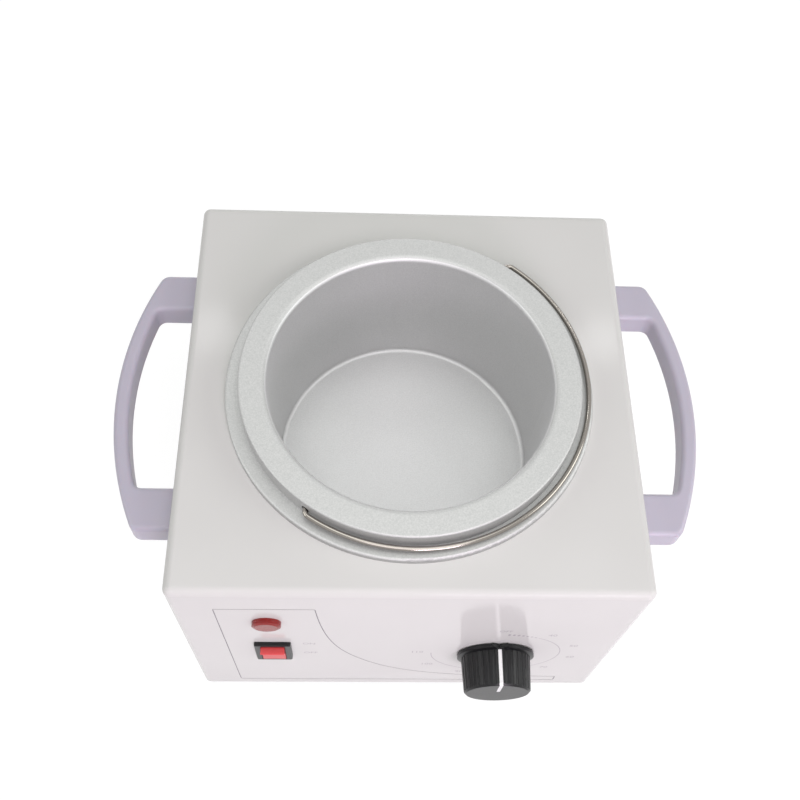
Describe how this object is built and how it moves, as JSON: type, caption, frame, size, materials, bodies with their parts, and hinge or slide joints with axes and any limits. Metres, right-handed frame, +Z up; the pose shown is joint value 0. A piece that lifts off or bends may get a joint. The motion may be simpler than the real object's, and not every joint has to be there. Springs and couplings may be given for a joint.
{
  "type": "wax warmer",
  "caption": "Tabletop wax warmer: sheet-metal box with side grips, dial, rocker switch and lamp, and a lift-out aluminium pot with a wire bail.",
  "frame": {"origin": "on the table, under the middle of the whole object, knob and cord gland included; the housing's own centre lies 4 mm behind it", "axes": "+Z up, -Y the front with the dial and switch, +X to the right as seen from the front, across the two grips"},
  "size_m": [0.2388, 0.203, 0.1492],
  "materials": {
    "white_paint": "smooth gloss enamel",
    "zinc_steel": "bright zinc",
    "black_rubber": "matt",
    "lilac_plastic": "satin moulding",
    "brass": "plain",
    "frosted_aluminium": "frosted",
    "band_sheath": "dull",
    "glass_fibre": "woven",
    "copper": "drawn tube",
    "fuse_metal": "plain",
    "stainless_wire": "polished",
    "black_plastic": "satin",
    "white_line": "flush inlay",
    "red_plastic": "satin",
    "red_lens": "clear red",
    "clear_glass": "clear",
    "white_nylon": "matt",
    "brown_insulation": "smooth",
    "blue_insulation": "smooth",
    "green_yellow_insulation": "striped"
  },
  "bodies": {
    "warmer": {"housing_shell": "white_paint", "base_plate": "zinc_steel", "base_screws": "zinc_steel", "foot_screws": "zinc_steel", "foot_nuts": "zinc_steel", "handle_screws": "zinc_steel", "band_bolt": "zinc_steel", "band_nut": "zinc_steel", "tie_stud": "zinc_steel", "tie_washer": "zinc_steel", "tie_nut": "zinc_steel", "bulb_clip": "zinc_steel", "fuse_clip": "zinc_steel", "clip_nuts": "zinc_steel", "thermostat_frame": "zinc_steel", "bushing_nut": "zinc_steel", "lamp_ring": "zinc_steel", "terminal_screws": "zinc_steel", "block_screws": "zinc_steel", "earth_screw": "zinc_steel", "earth_nut": "zinc_steel", "rubber_feet": "black_rubber", "handle_left": "lilac_plastic", "handle_right": "lilac_plastic", "handle_inserts": "brass", "thermostat_terminals": "brass", "switch_terminals": "brass", "earth_lug": "brass", "heating_well": "frosted_aluminium", "heater_band": "band_sheath", "insulation_sleeve": "glass_fibre", "bulb_and_capillary": "copper", "thermal_fuse": "fuse_metal", "thermostat_case": "black_plastic", "switch_body": "black_plastic", "cord_gland": "black_plastic", "gland_nut": "black_plastic", "lamp_lens": "red_lens", "neon_bulb": "clear_glass", "terminal_block": "white_nylon", "spade_sleeves": "white_nylon", "leads_live": "brown_insulation", "lamp_lead": "brown_insulation", "leads_neutral": "blue_insulation", "lead_earth": "green_yellow_insulation"},
    "knob": {"control_knob": "black_plastic", "knob_pointer": "white_line", "thermostat_shaft": "zinc_steel"},
    "rocker": {"switch_rocker": "red_plastic"},
    "pot": {"wax_pot": "frosted_aluminium"},
    "bail": {"pot_bail": "stainless_wire"}
  },
  "joints": [
    {"name": "knob_turn", "type": "hinge", "parent": "warmer", "child": "knob", "pos_m": [0.0396, -0.0845, 0.062], "axis": [0, 1, 0], "range_deg": [0, 270]},
    {"name": "rocker_tip", "type": "hinge", "parent": "warmer", "child": "rocker", "pos_m": [-0.0542, -0.083, 0.0667], "axis": [-1, 0, 0], "range_deg": [0, 18]},
    {"name": "pot_lift", "type": "slide", "parent": "warmer", "child": "pot", "axis": [0, 0, 1], "range_m": [0, 0.09]},
    {"name": "bail_swing", "type": "hinge", "parent": "pot", "child": "bail", "pos_m": [0, 0.001, 0.144], "axis": [-0.5835, -0.8121, 0], "range_deg": [0, 183.2]}
  ]
}
